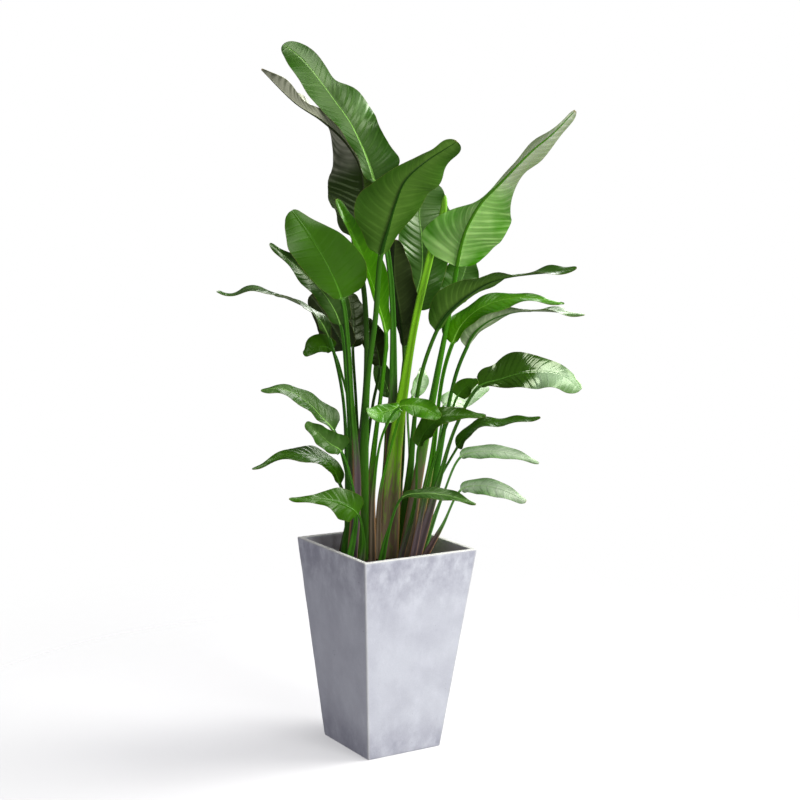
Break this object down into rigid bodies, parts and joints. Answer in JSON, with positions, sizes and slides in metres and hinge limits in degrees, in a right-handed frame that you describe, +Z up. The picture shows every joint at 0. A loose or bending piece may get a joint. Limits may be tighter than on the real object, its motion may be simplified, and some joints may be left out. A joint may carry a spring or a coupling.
{
  "type": "potted bird of paradise",
  "caption": "Tall clump of paddle-shaped leaves on long stalks, rooted in soil in a tapered square planter that stands on the floor.",
  "frame": {"origin": "centre of the planter's underside, on the floor", "axes": "+Z up; X and Y square to the planter's walls; the pictured side is between -X and -Y"},
  "size_m": [0.752, 0.6416, 1.6367],
  "materials": {
    "fibre_concrete": "matt, cast, faintly mottled",
    "potting_soil": "loose, damp, crumbly",
    "leaf": "waxy, satin to glossy, veined",
    "young_leaf": "smooth, satin"
  },
  "bodies": {
    "root": {"pot": "fibre_concrete", "soil": "potting_soil", "leaf_crown": "leaf", "leaf_crown_left": "leaf", "leaf_folded": "leaf", "leaf_centre": "leaf", "leaf_right_crown": "leaf", "leaf_back_centre": "leaf", "leaf_back_hanging": "leaf", "leaf_left_round": "leaf", "leaf_left_behind": "leaf", "leaf_left_long": "leaf", "leaf_left_dark_a": "leaf", "leaf_left_dark_b": "leaf", "leaf_centre_dark": "leaf", "leaf_small_oval": "leaf", "leaf_left_mid": "leaf", "leaf_left_curled": "leaf", "leaf_left_low": "leaf", "leaf_left_lowest": "leaf", "leaf_centre_low": "leaf", "leaf_centre_low_left": "leaf", "leaf_right_low_a": "leaf", "leaf_right_low_b": "leaf", "leaf_right_pale": "leaf", "leaf_right_lowest": "leaf", "leaf_front_low": "leaf", "leaf_right_tiny": "leaf", "leaf_right_glossy": "leaf", "leaf_right_long_a": "leaf", "leaf_right_long_b": "leaf", "leaf_right_long_c": "leaf", "spear": "young_leaf", "leaf_back_right": "leaf", "leaf_back_pale": "leaf", "leaf_back_low_a": "leaf", "leaf_back_low_b": "leaf"}
  },
  "joints": []
}
